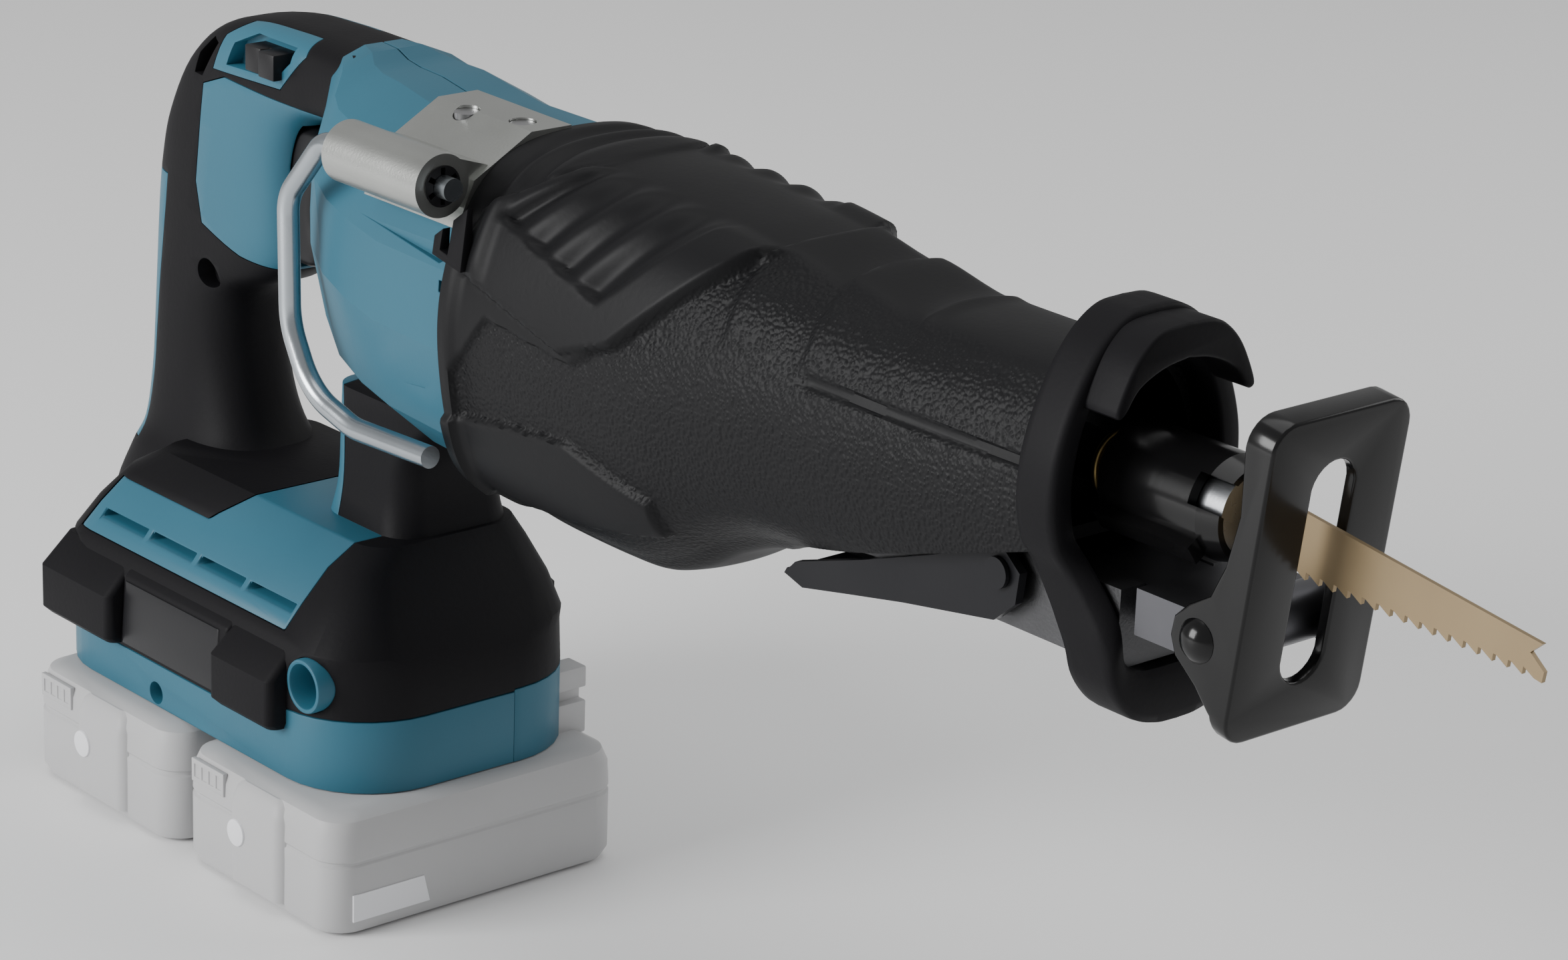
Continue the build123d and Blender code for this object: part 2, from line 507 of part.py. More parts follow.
def pack_plan(x, inset, z0, z1):
    """Rounded upright block of a pack's body."""
    shape = RectangleRounded(PACK_WIDTH - 2 * inset, PACK_FAR_Y - PACK_NEAR_Y - 2 * inset, 8 - inset)
    return extrude(Pos(x, pack_mid, z0) * shape, amount=z1 - z0)


for name, x in (("front", 0.0), ("rear", -PACK_PITCH)):
    case = pack_plan(x, 0, 0, BODY_TOP)
    case -= pack_plan(x, 1.1, 1.1, BODY_TOP - 1.0)
    deck = block(x - 21, x + 21, -43.4, PACK_FAR_Y, BODY_TOP, 54.5)
    deck -= block(x - 17, x + 17, -40.4, PACK_FAR_Y - 10, BODY_TOP, 52.5)
    for side in (-1, 1):
        groove = sorted((x + side * 18.0, x + side * 22.0))
        deck -= block(*groove, -60, 60, 44, 48)
    deck -= block(x - 12.3, x + 12.3, PACK_FAR_Y - 8, PACK_FAR_Y + 2, 42, 60)
    slope = prism([(x - 40, PACK_FAR_Y + 1, 40), (x - 40, PACK_FAR_Y - 7, 56), (x - 40, PACK_FAR_Y + 1, 56)],
                  (1, 0, 0), 80)
    save(f"pack_case_{name}", case + deck - slope)
    latch = block(x - 12, x + 12, PACK_FAR_Y - 7.7, PACK_FAR_Y - 0.4, 45.5, 54)
    save(f"pack_latch_{name}", latch - slope)
    cells = []
    for row, shift in ((0, -CELL_PITCH / 4), (1, CELL_PITCH / 4)):
        for i in range(5):
            y = pack_mid + shift + (i - 2) * CELL_PITCH
            z = 1.15 + CELL_RADIUS + row * ROW_RISE
            cells.append(round_x(CELL_RADIUS, x - 32.5, x + 32.5, y, z))
    save(f"pack_cells_{name}", *cells)
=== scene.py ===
"""The looks of a cordless reciprocating saw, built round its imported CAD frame.  Lengths in mm."""

import math

import bpy
import numpy as np
from mathutils import Matrix, Vector


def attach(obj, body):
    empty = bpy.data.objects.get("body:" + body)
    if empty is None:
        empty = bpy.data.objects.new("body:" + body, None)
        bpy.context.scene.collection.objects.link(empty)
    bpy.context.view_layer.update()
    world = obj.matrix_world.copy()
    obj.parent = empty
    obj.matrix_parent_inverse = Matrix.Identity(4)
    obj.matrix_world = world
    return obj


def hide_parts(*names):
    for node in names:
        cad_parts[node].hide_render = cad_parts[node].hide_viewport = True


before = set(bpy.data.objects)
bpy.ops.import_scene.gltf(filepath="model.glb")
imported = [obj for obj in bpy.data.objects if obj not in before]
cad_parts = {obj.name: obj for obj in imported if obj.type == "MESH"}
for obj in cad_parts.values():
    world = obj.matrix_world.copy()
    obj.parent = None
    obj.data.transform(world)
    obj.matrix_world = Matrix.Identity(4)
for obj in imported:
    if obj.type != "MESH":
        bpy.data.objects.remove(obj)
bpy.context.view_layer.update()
MM = 0.001

# ------------------------------------------------------------------------ motor casing
# The casing round the motor: glass-filled nylon, moulded in teal as a left and a right half that
# five long screws pull together.  Its facets are soft-edged, and it is satin with a faint grain.
TEAL_LIT = (0.036, 0.142, 0.205)
TEAL_DEEP = (0.03, 0.122, 0.18)
FACETS = [(0.35, 1.0), (0.75, 0.9), (0.97, 0.68), (1.0, 0.45), (0.86, 0.18), (0.5, 0.04), (0.2, 0.0)]
MOTOR_STATIONS = [(-34, 18, 231.5, 207), (-27, 25, 231, 190), (-22, 33, 229, 160), (-16, 37, 228, 147),
                  (-6, 40, 227.5, 137), (6, 41.2, 225.5, 132), (20, 42, 223.5, 129), (57, 42.5, 223.5, 127)]


def surface_group():
    """Shader group shared by every finish: a fine grain as height, and a slow mottling."""
    group = bpy.data.node_groups.new("moulded_surface", "ShaderNodeTree")
    for name, value in (("Grain Size", 900.0), ("Mottle Size", 30.0)):
        socket = group.interface.new_socket(name, in_out="INPUT", socket_type="NodeSocketFloat")
        socket.default_value = value
    for name in ("Height", "Mottle"):
        group.interface.new_socket(name, in_out="OUTPUT", socket_type="NodeSocketFloat")
    nodes, links = group.nodes, group.links
    source, sink = nodes.new("NodeGroupInput"), nodes.new("NodeGroupOutput")
    place = nodes.new("ShaderNodeTexCoord")
    for output, size, detail in (("Height", "Grain Size", 3.0), ("Mottle", "Mottle Size", 5.0)):
        cloud = nodes.new("ShaderNodeTexNoise")
        cloud.inputs["Detail"].default_value = detail
        links.new(place.outputs["Object"], cloud.inputs["Vector"])
        links.new(source.outputs[size], cloud.inputs["Scale"])
        links.new(cloud.outputs["Fac"], sink.inputs[output])
    return group


SURFACE = surface_group()


def moulded(name, light, dark, rough, grain=900.0, bump=0.04, coat=0.0, metal=0.0, spread=0.08,
            gloss_level=0.26):
    """Material of a moulded or finished piece: two near shades mottled, a fine grain, a varied sheen."""
    material = bpy.data.materials.new(name)
    material.use_nodes = True
    nodes, links = material.node_tree.nodes, material.node_tree.links
    shader = nodes["Principled BSDF"]
    shader.inputs["Metallic"].default_value = metal
    shader.inputs["Coat Weight"].default_value = coat
    shader.inputs["Specular IOR Level"].default_value = gloss_level
    shader.inputs["Coat Roughness"].default_value = 0.12
    surface = nodes.new("ShaderNodeGroup")
    surface.node_tree = SURFACE
    surface.inputs["Grain Size"].default_value = grain
    tint = nodes.new("ShaderNodeMix")
    tint.data_type = "RGBA"
    tint.inputs[6].default_value = (*dark, 1)
    tint.inputs[7].default_value = (*light, 1)
    links.new(surface.outputs["Mottle"], tint.inputs[0])
    links.new(tint.outputs[2], shader.inputs["Base Color"])
    sheen = nodes.new("ShaderNodeMapRange")
    sheen.inputs["To Min"].default_value = rough - spread
    sheen.inputs["To Max"].default_value = rough + spread
    links.new(surface.outputs["Mottle"], sheen.inputs["Value"])
    links.new(sheen.outputs["Result"], shader.inputs["Roughness"])
    relief = nodes.new("ShaderNodeBump")
    relief.inputs["Strength"].default_value = bump
    relief.inputs["Distance"].default_value = 0.0004
    links.new(surface.outputs["Height"], relief.inputs["Height"])
    links.new(relief.outputs["Normal"], shader.inputs["Normal"])
    return material


def piece(name, points, faces, material, smooth=True):
    """Mesh object from points in mm."""
    mesh = bpy.data.meshes.new(name)
    mesh.from_pydata([tuple(float(c) * MM for c in p) for p in points], [], faces)
    mesh.validate()
    made = bpy.data.objects.new(name, mesh)
    bpy.context.scene.collection.objects.link(made)
    if material:
        mesh.materials.append(material)
    if smooth:
        mesh.shade_smooth()
    else:
        mesh.shade_flat()
    return made


def tube_of(name, rings, material, smooth=True, around=False):
    """Closed skin through equal rings of points, flat ends unless the last ring joins the first."""
    rings = [np.asarray(ring, float) for ring in rings]
    count = len(rings[0])
    faces = []
    steps = len(rings) if around else len(rings) - 1
    for i in range(steps):
        here, there = i * count, (i + 1) % len(rings) * count
        for j in range(count):
            k = (j + 1) % count
            faces.append((here + j, here + k, there + k, there + j))
    if not around:
        faces.append(tuple(reversed(range(count))))
        faces.append(tuple(range((len(rings) - 1) * count, len(rings) * count)))
    made = piece(name, np.concatenate(rings), faces, material, smooth)
    outward(made)
    return made


def outward(made):
    """Turn every face of a closed mesh outward."""
    import bmesh
    shape = bmesh.new()
    shape.from_mesh(made.data)
    bmesh.ops.recalc_face_normals(shape, faces=shape.faces)
    shape.to_mesh(made.data)
    shape.free()


def settle(made):
    """Apply the modifiers."""
    bpy.context.view_layer.update()
    final = bpy.data.meshes.new_from_object(made.evaluated_get(bpy.context.evaluated_depsgraph_get()))
    made.modifiers.clear()
    made.data = final
    return made


def combine(made, other, operation, keep_other=False):
    """Cut, join or intersect two closed meshes."""
    step = made.modifiers.new("combine", "BOOLEAN")
    step.operation, step.object, step.solver = operation, other, "EXACT"
    settle(made)
    if not keep_other:
        bpy.data.objects.remove(other)
    return made


def copy_of(made, name, material=None):
    """Second object with its own mesh."""
    twin = bpy.data.objects.new(name, made.data.copy())
    bpy.context.scene.collection.objects.link(twin)
    if material:
        twin.data.materials.clear()
        twin.data.materials.append(material)
    return twin


def soften(made, width, segments=3, angle=28.0, crease=34.0):
    """Round the hard edges and keep broad faces flat in shading."""
    edge = made.modifiers.new("edge", "BEVEL")
    edge.width, edge.segments, edge.limit_method = width * MM, segments, "ANGLE"
    edge.angle_limit = math.radians(angle)
    edge.harden_normals = False
    edge.use_clamp_overlap = True
    settle(made)
    made.data.shade_smooth()
    made.data.set_sharp_from_angle(angle=math.radians(crease))
    return made


def prism_y(name, outline, y0, y1, material=None):
    """Outline in X and Z pushed along Y."""
    return tube_of(name, [[(x, y, z) for x, z in outline] for y in (y0, y1)], material, smooth=False)


def prism_x(name, outline, x0, x1, material=None):
    """Outline in Y and Z pushed along X."""
    return tube_of(name, [[(x, y, z) for y, z in outline] for x in (x0, x1)], material, smooth=False)


def prism_z(name, outline, z0, z1, material=None):
    """Outline in X and Y pushed along Z."""
    return tube_of(name, [[(x, y, z) for x, y in outline] for z in (z0, z1)], material, smooth=False)


def box(x0, x1, y0, y1, z0, z1):
    """Cutting block."""
    return prism_z("block", [(x0, y0), (x1, y0), (x1, y1), (x0, y1)], z0, z1)


def facet_ring(x, half, top, bottom):
    """The casing's many-sided section at one X."""
    side = [(a * half, bottom + b * (top - bottom)) for a, b in FACETS]
    return [(x, y, z) for y, z in side + [(-y, z) for y, z in reversed(side)]]


def disc(radius, centre, start, end, axis="Y", count=40):
    """Round bar along an axis, as a cutter or a plain round piece's blank."""
    turns = [i * 2 * math.pi / count for i in range(count)]
    rings = []
    for along in (start, end):
        ring = []
        for t in turns:
            a, b = centre[0] + radius * math.cos(t), centre[1] + radius * math.sin(t)
            ring.append({"X": (along, a, b), "Y": (a, along, b), "Z": (a, b, along)}[axis])
        rings.append(ring)
    return tube_of("round", rings, None)


teal = moulded("teal_nylon", TEAL_LIT, TEAL_DEEP, 0.42, bump=0.05)
motor = tube_of("motor_casing", [facet_ring(*station) for station in MOTOR_STATIONS], teal, smooth=False)
POCKET_FLOOR = 38.6      # how far out the shallow pockets' floor stands
SLOT_FLOOR = 34          # and the floor of the slots beside the boot
POCKET = [(-6, 207), (44, 203), (56, 208), (56, 199), (48, 194), (-4, 200)]
LOW_POCKET = [(-2, 152), (40, 157), (36, 150), (2, 146)]
for side in (-1, 1):
    deep = POCKET_FLOOR * side
    far = 60 * side
    combine(motor, prism_y("pocket", POCKET, deep, far), "DIFFERENCE")
    combine(motor, prism_y("low_pocket", LOW_POCKET, deep, far), "DIFFERENCE")
    for low in (186.5, 158.5):
        slot = [(49, low), (58, low), (58, low + 3.2), (49, low + 3.2)]
        combine(motor, prism_y("slot", slot, SLOT_FLOOR * side, far), "DIFFERENCE")
combine(motor, box(-60, 80, -0.25, 0.25, 222.2, 240), "DIFFERENCE")
soften(motor, 0.7, segments=2, angle=24, crease=15)
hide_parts("housing_right", "housing_left")
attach(motor, "saw")

# ------------------------------------------------------------------------ handle
# The upright handle and the arch from it to the motor casing: a nylon core under an elastomer skin
# that is moulded over it.  The skin leaves teal nylon bare round the trigger and up the back.
RUBBER_LIGHT = (0.0078, 0.0074, 0.0088)
RUBBER_DARK = (0.0055, 0.0052, 0.0062)
BACK_LINE = [(-126, 59), (-140, 64), (-147, 75), (-144, 88), (-141, 97), (-139, 112), (-137, 128),
             (-135.5, 146),
             (-134, 166), (-131.5, 182), (-127, 196), (-116, 213), (-100, 225), (-80, 230), (-60, 231),
             (-44, 231), (-27, 230.5)]
FRONT_LINE = [(-60, 59), (-62, 66), (-66, 78), (-76, 92), (-85, 101), (-91, 114), (-94, 130), (-90, 145),
              (-74, 153),
              (-66, 161), (-64.5, 176), (-64, 189), (-61, 199), (-56, 204), (-50, 206), (-42, 207),
              (-27, 207)]
HALF_WIDTHS = [26, 30, 29, 24, 19.5, 17.4, 17, 17, 17, 17, 17, 17, 17, 17, 17, 17, 18]
SQUARENESS = [3.2, 3.2, 3.0, 2.8, 2.6, 2.5, 2.5, 2.6, 3.0, 3.2, 3.2, 3.2, 3.2, 3.2, 3.2, 3.2, 3.2]


def through(rows, steps):
    """Smooth curve through rows of numbers, with steps points from each row to the next."""
    rows = np.asarray(rows, float)
    padded = np.concatenate([2 * rows[:1] - rows[1:2], rows, 2 * rows[-1:] - rows[-2:-1]])
    out = []
    for i in range(1, len(padded) - 2):
        a, b, c, d = padded[i - 1:i + 3]
        for k in range(steps):
            t = k / steps
            out.append(0.5 * (2 * b + (c - a) * t + (2 * a - 5 * b + 4 * c - d) * t**2
                              + (3 * b - a - 3 * c + d) * t**3))
    out.append(rows[-1])
    return np.array(out)


def oval(back, front, half, power, count=56):
    """Rounded section between a back and a front point, half wide each side."""
    back, front = np.array(back), np.array(front)
    ring = []
    for i in range(count):
        t = 2 * math.pi * i / count
        along = math.copysign(abs(math.cos(t)) ** (2 / power), math.cos(t))
        across = math.copysign(abs(math.sin(t)) ** (2 / power), math.sin(t))
        x, z = (back + front) / 2 + (front - back) / 2 * along
        ring.append((x, half * across, z))
    return ring


rows = through([b + f + (h, p) for b, f, h, p in zip(BACK_LINE, FRONT_LINE, HALF_WIDTHS, SQUARENESS)], 5)
rubber = moulded("black_elastomer", RUBBER_LIGHT, RUBBER_DARK, 0.56, grain=700.0, bump=0.12,
                 gloss_level=0.13)
handle = tube_of("handle_skin", [oval(r[0:2], r[2:4], r[4], r[5]) for r in rows], rubber)
TRIGGER_PANEL = [(-99, 208), (-88, 212), (-36, 209), (-38, 200), (-57, 198), (-63, 186), (-60, 158),
                 (-66, 157), (-82, 160), (-100, 166), (-103, 178)]
REAR_STRIP = [(-150, 176), (-120, 176), (-121, 167), (-127, 124), (-130, 102), (-132, 92), (-150, 90)]
BEZEL = [(-94, 213.5), (-90, 224), (-72, 235), (-50, 235), (-48.5, 226), (-60, 214.5)]
BEZEL_HOLLOW = [(-87, 216), (-84, 223), (-74, 227.5), (-54, 227.5), (-55, 223), (-62, 217)]
TRIGGER_ROOM = [(-80, 203), (-56, 203), (-40, 210), (-40, 150), (-60, 156), (-76, 161)]
STRAP_HOLE = [(-105, 210), (-100, 210), (-93, 221), (-97, 222), (-104, 216)]


def grown(outline, amount):
    """Outline moved outward by an amount, for clearances round an inlay."""
    points = np.array(outline, float)
    middle = points.mean(axis=0)
    arrows = points - middle
    return [tuple(p) for p in points + arrows / np.linalg.norm(arrows, axis=1)[:, None] * amount]


SEAM = 0.35
inlays = []
for name, outline, y0, y1 in (("trigger_panel", TRIGGER_PANEL, -40, 40),
                              ("rear_strip", REAR_STRIP, -40, 40),
                              ("button_bezel", BEZEL, -40, -9.5),
                              ("button_bezel_left", BEZEL, 9.5, 40)):
    inlay = copy_of(handle, name, teal)
    combine(inlay, prism_y("inside", outline, y0, y1), "INTERSECT")
    combine(handle, prism_y("outside", grown(outline, SEAM), y0 - 0.1, y1 + 0.1), "DIFFERENCE")
    inlays.append(inlay)
trigger_room = prism_y("room", TRIGGER_ROOM, -9.6, 9.6)
combine(inlays[0], trigger_room, "DIFFERENCE", keep_other=True)
combine(handle, trigger_room, "DIFFERENCE")
for side, bezel in ((-1, inlays[2]), (1, inlays[3])):
    combine(bezel, prism_y("hollow", BEZEL_HOLLOW, 11.5 * side, 40 * side), "DIFFERENCE")
for made in [handle] + inlays[:2]:
    combine(made, prism_y("strap", STRAP_HOLE, -40, 40), "DIFFERENCE")
combine(handle, disc(4.6, (-98, 151), -40, -11), "DIFFERENCE")
for made in [handle] + inlays:
    soften(made, 0.5, segments=2, angle=35)
    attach(made, "saw")
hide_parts("grip_overmould_right", "grip_overmould_left")

# ------------------------------------------------------------------------ battery base and neck
# The foot of the housing: a wide nylon base that takes two battery packs side by side, and the neck
# that carries the motor casing.  A teal band runs round it below a black elastomer cover.
BASE_RINGS = [(36, -126, 31, -58.5, 30.5, 28), (57.5, -126, 31, -58.5, 30.5, 28),
              (71, -125, 29.5, -58, 30, 26), (75, -123, 27.5, -56, 28.5, 19), (84, -118, 21, -48.5, 26, 14),
              (93, -112, 12, -40, 23.5, 11), (98.5, -105, 7, -31, 21.5, 10)]
NECK_RINGS = [(72, -40, 20, -30, 25, 12), (80, -39, 17, -28, 24, 12), (88, -37, 12, -25, 22, 11),
              (97, -35, 6, -22, 20, 10), (108, -33.5, 3, -19.5, 19, 9), (122, -32.5, 6, -19, 19, 8),
              (137, -31, 24, -20, 20, 9)]


def rounded(z, x0, x1, y0, y1, radius, arc=9):
    """Rounded rectangle at one height."""
    ring = []
    for cx, cy, start in ((x1 - radius, y1 - radius, 0), (x0 + radius, y1 - radius, 90),
                          (x0 + radius, y0 + radius, 180), (x1 - radius, y0 + radius, 270)):
        for i in range(arc):
            t = math.radians(start + 90 * i / (arc - 1))
            ring.append((cx + radius * math.cos(t), cy + radius * math.sin(t), z))
    return ring


def tower(name, rings, material, steps=4):
    """Column through rounded rectangles, eased from one to the next."""
    return tube_of(name, [rounded(*row) for row in through(rings, steps)], material)


cover = tube_of("base_cover", [rounded(*row) for row in BASE_RINGS], rubber, smooth=False)
band = copy_of(cover, "base_band", teal)
BAND_TOP = [(-140, 58), (-88, 58), (-84, 49), (-31, 49), (-27, 56), (60, 58), (60, 30), (-140, 30)]
combine(band, prism_y("low", BAND_TOP, -90, 0), "INTERSECT")
back_band = copy_of(cover, "base_band_left", teal)
combine(back_band, box(-140, 60, 0, 60, 30, 58), "INTERSECT")
combine(cover, prism_y("low", [(-140, 58.4), (-87.8, 58.4), (-83.8, 49.4), (-31.2, 49.4), (-27.2, 56.4),
                               (60, 58.4), (60, 30), (-140, 30)], -90, 0), "DIFFERENCE")
combine(cover, box(-140, 60, 0, 60, 30, 58.4), "DIFFERENCE")
deck = copy_of(cover, "vent_deck", teal)
DECK = [(-110, 77), (-4, 77), (-3, 104), (-46, 104), (-60, 91), (-106, 91)]
combine(deck, prism_y("vents", DECK, -90, -2), "INTERSECT")
combine(cover, prism_y("vents", grown(DECK, 0.4), -90.1, -1.8), "DIFFERENCE")
for i in range(4):
    x = -103 + 25 * i
    combine(deck, box(x, x + 22.4, -90, -44, 80.8, 83.2), "DIFFERENCE")
for made in (band, back_band):
    for x in (0, -80):
        combine(made, box(x - 22.5, x + 22.5, -44.5, 60, 20, 57.3), "DIFFERENCE")
combine(band, disc(3.3, (-63, 40), -70, -50), "DIFFERENCE")
neck = tower("neck", NECK_RINGS, rubber)
strip = copy_of(neck, "neck_strip", teal)
STRIP_ZONE = [(-60, -40), (-20, -40), (-28, -8), (-60, -2)]
combine(strip, prism_z("zone", STRIP_ZONE, 60, 160), "INTERSECT")
combine(neck, prism_z("zone", grown(STRIP_ZONE, 0.3), 60, 160), "DIFFERENCE")
RECESS = (11, 66)        # middle of the round recess at the near front corner
cup = disc(8.0, RECESS, -70, -44)
combine(cover, cup, "DIFFERENCE", keep_other=True)
ring = disc(7.8, RECESS, -58.6, -47)
ring.name = "recess_ring"
ring.data.materials.append(teal)
combine(ring, disc(6.3, RECESS, -70, -50), "DIFFERENCE")
bpy.data.objects.remove(cup)
for made, slot_name in ((cover, "black_elastomer"), (band, "teal_plastic"), (back_band, "teal_plastic"),
                        (deck, "teal_plastic"), (neck, "black_elastomer"), (strip, "teal_plastic"),
                        (ring, "teal_plastic")):
    soften(made, 0.7, segments=2)
    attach(made, "saw")

# ------------------------------------------------------------------------ rubber boot
# The boot over the gear housing, pulled on from the front: one thick moulding in black elastomer.
# It has grip ribs over the top, a raised V frame with its own ribs, stippled flanks with a border
# line and a groove, a raised rear panel with slotted tabs, and a round belly under the crank.
BOOT_STATIONS = [(54, 43.4, 224.2, 125), (62, 43.7, 224.6, 123), (76, 43.8, 225.4, 121.5),
                 (100, 43, 224.8, 121), (116, 42.4, 223.9, 122), (130, 41.5, 222.9, 127),
                 (144, 40, 221.8, 135), (160, 38.5, 220, 141), (180, 36.5, 218.3, 143),
                 (200, 35, 216.6, 144), (232, 32, 216.6, 143), (262, 28.8, 217.5, 142)]
LOWER_EDGE = [(40, 100), (150, 100), (158, 139), (168, 146), (262, 174.5)]
V_OUTER = [(62, 211), (60, 195), (104, 184), (122, 190), (186, 246), (122, 246)]
V_INNER = [(71, 211), (115, 199.5), (121, 204), (166, 246), (120, 246)]
FLANK = [(72, 186), (106, 182), (124, 193), (152, 217), (160, 220), (270, 221), (270, 60), (58, 60),
         (58, 168)]
REAR_PANEL = [(50, 154), (78, 158), (104, 160), (134, 151), (135, 140), (110, 136), (90, 134), (50, 131)]


def inside_by(outline, x, z):
    """Signed distance of each point into an outline, in mm: positive inside, negative outside."""
    points = np.array(outline, float)
    near = np.full(x.shape, 1e9)
    within = np.zeros(x.shape, bool)
    for (ax, az), (bx, bz) in zip(points, np.roll(points, -1, axis=0)):
        ex, ez = bx - ax, bz - az
        t = np.clip(((x - ax) * ex + (z - az) * ez) / (ex * ex + ez * ez), 0, 1)
        near = np.minimum(near, np.hypot(x - ax - t * ex, z - az - t * ez))
        crosses = (az > z) != (bz > z)
        within ^= crosses & (x < ax + (z - az) * ex / (ez if abs(ez) > 1e-9 else 1e-9))
    return np.where(within, near, -near)


def ease(value, low, high):
    """0 below low, 1 above high, smooth between."""
    t = np.clip((value - low) / (high - low), 0, 1)
    return t * t * (3 - 2 * t)


def soft_ring(half, top, bottom, count):
    """Closed soft-cornered section through the casing's facets: (y, z) pairs evenly spaced round."""
    side = [(a * half, bottom + b * (top - bottom)) for a, b in FACETS]
    loop = np.array(side + [(-y, z) for y, z in reversed(side)])
    wide = np.concatenate([loop[-2:], loop, loop[:3]])
    fine = through(wide, 24)
    dense = fine[2 * 24:(2 + len(loop)) * 24]
    step = np.hypot(*np.diff(np.vstack([dense, dense[:1]]), axis=0).T)
    run = np.concatenate([[0], np.cumsum(step)])
    want = np.linspace(0, run[-1], count, endpoint=False)
    closed = np.vstack([dense, dense[:1]])
    return np.stack([np.interp(want, run, closed[:, k]) for k in (0, 1)], axis=1)


def boot_relief(x, y, z):
    """How far the boot's surface stands out at each point, in mm, and its stipple mask."""
    flank = ease(np.abs(y), 13, 22)
    frame_in = inside_by(V_OUTER, x, z)
    window_in = inside_by(V_INNER, x, z)
    raised = ease(frame_in, -0.5, 0.9) * 2.5
    sunk = ease(window_in, -0.8, 1.4)
    ribs = (0.5 + 0.5 * np.cos((x - z * 0.9 + 92) * 2 * math.pi / 15.0)) ** 0.9
    panel = raised - sunk * (2.9 - 1.9 * ribs)
    border = inside_by(FLANK, x, z)
    rubber_in = ease(border, 0.0, 0.9)
    flank_part = panel - 1.4 * rubber_in * (1 - ease(frame_in, -1.2, 0))
    groove = ease(2.0 - np.abs(z - 197.5 + (x - 184) * 0.03), 0, 0.9)
    groove = groove * ease(x, 183, 188) * ease(262 - x, 0, 3)
    flank_part = flank_part - 1.2 * groove
    rear = ease(inside_by(REAR_PANEL, x, z), -0.4, 1.2)
    flank_part = flank_part + 1.9 * rear
    wave = (x - 72 - 0.05 * np.abs(y) ** 1.2) / 27.0
    phase = wave % 1.0
    over = 2.3 * (ease(phase, 0.0, 0.07) - ease(phase, 0.1, 1.0)) - 0.5
    over = over * ease(x, 70, 80) * ease(215 - x, 0, 14) * ease(z, 196, 206)
    outside_frame = 1 - ease(frame_in, -1.5, 0)
    bead = 1.6 * ease(62 - x, 0, 5) + 1.6 * ease(5 - np.abs(x - 68), 0, 5) * ease(z, 190, 200)
    stipple = rubber_in * flank * (1 - ease(frame_in, -1, 0)) * (1 - rear) * (1 - groove)
    return flank * flank_part + over * outside_frame * (1 - 0.6 * flank * rubber_in) + bead, stipple


COUNT = 300
levels = np.arange(54, 262.6, 1.0)
curve = through(BOOT_STATIONS, 10)
sizes = [np.interp(levels, curve[:, 0], curve[:, k]) for k in (1, 2, 3)]
lower = np.interp(levels, *zip(*LOWER_EDGE))
outer_rings, masks = [], []
for x, half, top, bottom, floor in zip(levels, *sizes, lower):
    ring = soft_ring(half, top, bottom, COUNT)
    out, mask = boot_relief(np.full(COUNT, x), ring[:, 0], ring[:, 1])
    away = np.roll(ring, -1, axis=0) - np.roll(ring, 1, axis=0)
    away = np.stack([away[:, 1], -away[:, 0]], axis=1)
    away /= np.linalg.norm(away, axis=1)[:, None]
    middle = np.array([0, (top + bottom) / 2])
    away *= np.sign(np.sum(away * (ring - middle), axis=1))[:, None]
    shaped = ring + away * out[:, None]
    shaped[:, 1] = np.maximum(shaped[:, 1], floor)
    outer_rings.append(np.column_stack([np.full(COUNT, x), shaped]))
    masks.append(mask)


def stippled(name, light, dark, rough):
    """Elastomer with a leathery stipple wherever the mesh's stipple mask says so."""
    material = moulded(name, light, dark, rough, grain=600.0, bump=0.1, gloss_level=0.16)
    nodes, links = material.node_tree.nodes, material.node_tree.links
    mask = nodes.new("ShaderNodeAttribute")
    mask.attribute_name = "stipple"
    place = nodes.new("ShaderNodeTexCoord")
    cells = nodes.new("ShaderNodeTexVoronoi")
    cells.feature = "SMOOTH_F1"
    cells.inputs["Scale"].default_value = 950.0
    links.new(place.outputs["Object"], cells.inputs["Vector"])
    height = nodes.new("ShaderNodeMath")
    height.operation = "MULTIPLY"
    links.new(mask.outputs["Fac"], height.inputs[0])
    links.new(cells.outputs["Distance"], height.inputs[1])
    old = next(n for n in nodes if n.bl_idname == "ShaderNodeBump")
    relief = nodes.new("ShaderNodeBump")
    relief.inputs["Strength"].default_value = 0.6
    relief.inputs["Distance"].default_value = 0.0007
    relief.invert = True
    links.new(height.outputs[0], relief.inputs["Height"])
    links.new(old.outputs["Normal"], relief.inputs["Normal"])
    links.new(relief.outputs["Normal"], nodes["Principled BSDF"].inputs["Normal"])
    return material


boot_rubber = stippled("boot_elastomer", (0.0085, 0.0085, 0.0095), (0.006, 0.006, 0.0068), 0.48)
inner_rings = [ring * 1.0 for ring in outer_rings[::4]]
for ring in inner_rings:
    centre = np.array([ring[0, 0], 0, (ring[:, 2].max() + ring[:, 2].min()) / 2])
    size = np.array([1, 1 - 3.4 / ring[:, 1].max(), 1 - 3.4 / (ring[:, 2].max() - centre[2])])
    ring[:] = centre + (ring - centre) * size
boot = tube_of("boot_sleeve", outer_rings + inner_rings[::-1], boot_rubber, around=True)
values = np.concatenate(masks + [np.zeros(COUNT)] * len(inner_rings))
field = boot.data.attributes.new("stipple", "FLOAT", "POINT")
field.data.foreach_set("value", values.astype(np.float32))
boot.data.set_sharp_from_angle(angle=math.radians(50))
TAB = [(51, 203, 44.4), (64, 213, 43.4), (64, 196, 45.6), (51, 198, 45.2)]    # x, z and how far out
TAB_BACK = 41.6
SLIT = [(54.5, 207.5), (58.5, 209.5), (57.5, 199.2), (54, 199.8)]
side_tabs = []
